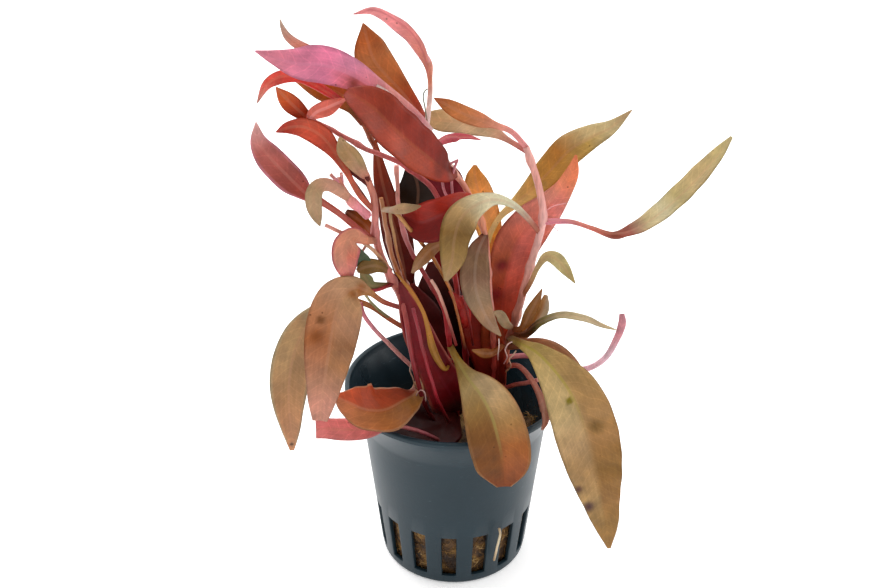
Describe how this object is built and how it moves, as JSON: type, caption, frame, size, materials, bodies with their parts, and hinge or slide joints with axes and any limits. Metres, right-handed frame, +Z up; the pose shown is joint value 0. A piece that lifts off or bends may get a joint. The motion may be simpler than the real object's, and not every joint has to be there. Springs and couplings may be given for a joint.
{
  "type": "potted alternanthera plant",
  "caption": "Red-leaved stem plant rooted in rock wool, in a small flared plastic pot with upright slots round its foot.",
  "frame": {"origin": "centre of the pot's flat base, on the surface it rests on", "axes": "+Z up along the pot's axis, the plant's front faces -Y"},
  "size_m": [0.0952, 0.0697, 0.132],
  "materials": {
    "slate_plastic": "moulded, soft sheen",
    "rock_wool": "matt, fibrous",
    "pink": "satin, thin leaf or stem tissue",
    "magenta": "satin, thin leaf or stem tissue",
    "coral": "satin, thin leaf or stem tissue",
    "rust": "satin, thin leaf or stem tissue",
    "wine": "satin, thin leaf or stem tissue",
    "orange": "satin, thin leaf or stem tissue",
    "amber": "satin, thin leaf or stem tissue",
    "olive": "satin, thin leaf or stem tissue",
    "tan": "satin, thin leaf or stem tissue",
    "mauve": "satin, thin leaf or stem tissue"
  },
  "bodies": {
    "root": {"pot": "slate_plastic", "rock_wool": "rock_wool", "stem_left": "coral", "stem_left_second": "coral", "stem_centre": "pink", "stem_right": "pink", "stem_middle": "pink", "stem_diagonal": "coral", "stem_back_left": "coral", "stem_back": "coral", "stem_left_branch": "pink", "leaf_top_arch": "pink", "leaf_top_upright": "rust", "leaf_magenta": "magenta", "leaf_rust_layer": "orange", "leaf_thin_curl": "tan", "leaf_coral_hook": "coral", "leaf_orange_tip": "orange", "leaf_coral_fold": "coral", "leaf_coral_low": "coral", "leaf_rust_front": "rust", "leaf_pink_left": "coral", "leaf_grey_curl": "olive", "leaf_folded_tan": "tan", "leaf_salmon": "coral", "leaf_pale_small": "olive", "leaf_wine_fold": "wine", "leaf_dark_olive": "olive", "leaf_orange_right": "orange", "leaf_olive_behind": "olive", "leaf_thin_coral": "coral", "leaf_olive_right": "olive", "leaf_coral_right": "coral", "leaf_amber": "amber", "leaf_sage_arch": "olive", "leaf_mauve": "mauve", "leaf_tan_ribbon": "tan", "leaf_sword": "olive", "leaf_small_olive": "olive", "leaf_low_pointed": "orange", "leaf_low_blunt": "tan", "leaf_narrow_olive": "olive", "leaf_pink_rod": "pink", "leaf_hanging_right": "tan", "leaf_behind_right": "tan", "leaf_pink_droop": "pink", "leaf_hanging_front": "orange", "leaf_hanging_left": "tan", "leaf_outer_left": "tan", "leaf_pink_low": "pink", "leaf_orange_low": "orange", "leaf_dark_inside": "wine", "leaf_crown_wine": "wine", "leaf_olive_low": "olive", "leaf_brown_left": "orange", "leaf_brown_behind": "rust", "leaf_back_upper": "wine", "leaf_back_centre": "wine", "leaf_back_right": "wine", "leaf_back_hanging": "tan"}
  },
  "joints": []
}
